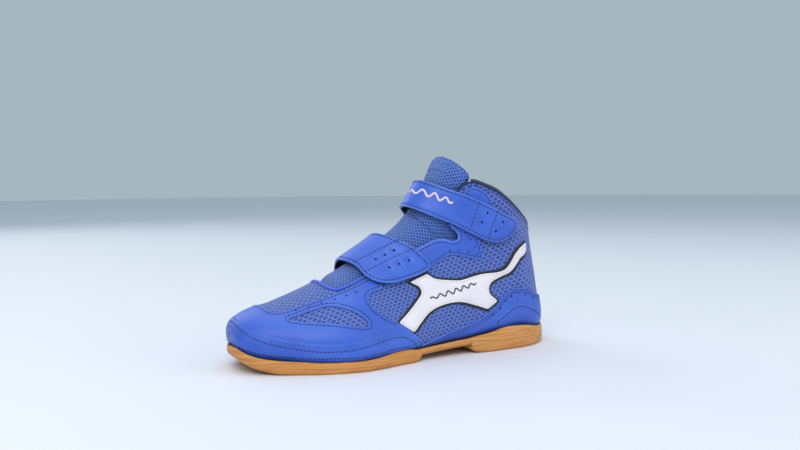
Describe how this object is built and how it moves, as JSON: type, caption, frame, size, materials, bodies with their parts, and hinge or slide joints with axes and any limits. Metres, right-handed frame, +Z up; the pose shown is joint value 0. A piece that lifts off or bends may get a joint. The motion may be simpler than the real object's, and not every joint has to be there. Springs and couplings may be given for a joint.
{
  "type": "boxing boot",
  "caption": "Mid-height boxing boot for the left foot: mesh upper with synthetic leather overlays, padded tongue and collar, two hook and loop straps, gum rubber sole.",
  "frame": {"origin": "centre of the boot's outline on the ground, under the sole", "axes": "+X towards the heel, so the toe points to -X; -Y is the outer (lateral) side; +Z up"},
  "size_m": [0.286, 0.108, 0.1623],
  "materials": {
    "gum": "satin moulded gum rubber",
    "board": "matt non-woven board",
    "foam": "matt closed-cell foam",
    "lining": "matt brushed knit",
    "mesh": "matt open hexagon mesh",
    "tongue_mesh": "matt spacer mesh",
    "binding": "matt folded tape",
    "blue_overlay": "soft sheen synthetic leather",
    "edging": "matt synthetic leather",
    "white_overlay": "smooth synthetic leather",
    "strap": "smooth synthetic leather",
    "hook": "matt hook tape",
    "loop": "matt loop tape"
  },
  "bodies": {
    "upper": {"outsole_forefoot": "gum", "outsole_arch": "gum", "outsole_heel": "gum", "strobel_board": "board", "cushion_insole": "foam", "toe_puff": "foam", "heel_counter": "foam", "collar_foam_lateral": "foam", "collar_foam_medial": "foam", "sock_liner": "lining", "vamp_lining": "lining", "quarter_lining_lateral": "lining", "quarter_lining_medial": "lining", "vamp_mesh": "mesh", "quarter_mesh_lateral": "mesh", "quarter_mesh_medial": "mesh", "collar_binding": "binding", "throat_binding": "binding", "toe_rand": "blue_overlay", "toe_overlay": "blue_overlay", "heel_overlay": "blue_overlay", "saddle_overlay_lateral": "blue_overlay", "saddle_overlay_medial": "blue_overlay", "collar_tab_lateral": "blue_overlay", "collar_tab_medial": "blue_overlay", "side_underlay_lateral": "edging", "side_underlay_medial": "edging", "side_overlay_lateral": "white_overlay", "side_overlay_medial": "white_overlay", "lower_strap_anchor": "strap", "lower_strap_loop_patch": "loop", "upper_strap_anchor": "strap", "upper_strap_loop_patch": "loop"},
    "tongue": {"tongue_face": "tongue_mesh", "tongue_foam": "foam", "tongue_lining": "lining"},
    "lower_strap": {"lower_strap_band": "strap"},
    "lower_strap_tab": {"lower_strap_tab": "strap", "lower_strap_hook_patch": "hook"},
    "upper_strap": {"upper_strap_band": "strap"},
    "upper_strap_tab": {"upper_strap_tab": "strap", "upper_strap_hook_patch": "hook"}
  },
  "joints": [
    {"name": "tongue_hinge", "type": "hinge", "parent": "upper", "child": "tongue", "pos_m": [-0.07, 0, 0.0535], "axis": [0, 1, 0], "range_deg": [0, 12]},
    {"name": "lower_strap_hinge", "type": "hinge", "parent": "upper", "child": "lower_strap", "pos_m": [-0.0253, 0.0338, 0.0705], "axis": [-0.9253, 0.0883, -0.3689], "range_deg": [0, 135]},
    {"name": "lower_tab_hinge", "type": "hinge", "parent": "lower_strap", "child": "lower_strap_tab", "pos_m": [-0.0237, -0.0117, 0.0863], "axis": [-0.8842, 0.0607, -0.4631], "range_deg": [0, 110]},
    {"name": "upper_strap_hinge", "type": "hinge", "parent": "upper", "child": "upper_strap", "pos_m": [0.0459, 0.0349, 0.117], "axis": [-0.345, -0.0152, -0.9385], "range_deg": [0, 135]},
    {"name": "upper_tab_hinge", "type": "hinge", "parent": "upper_strap", "child": "upper_strap_tab", "pos_m": [0.0464, -0.0282, 0.1187], "axis": [-0.3398, 0.0589, -0.9386], "range_deg": [0, 110]}
  ]
}
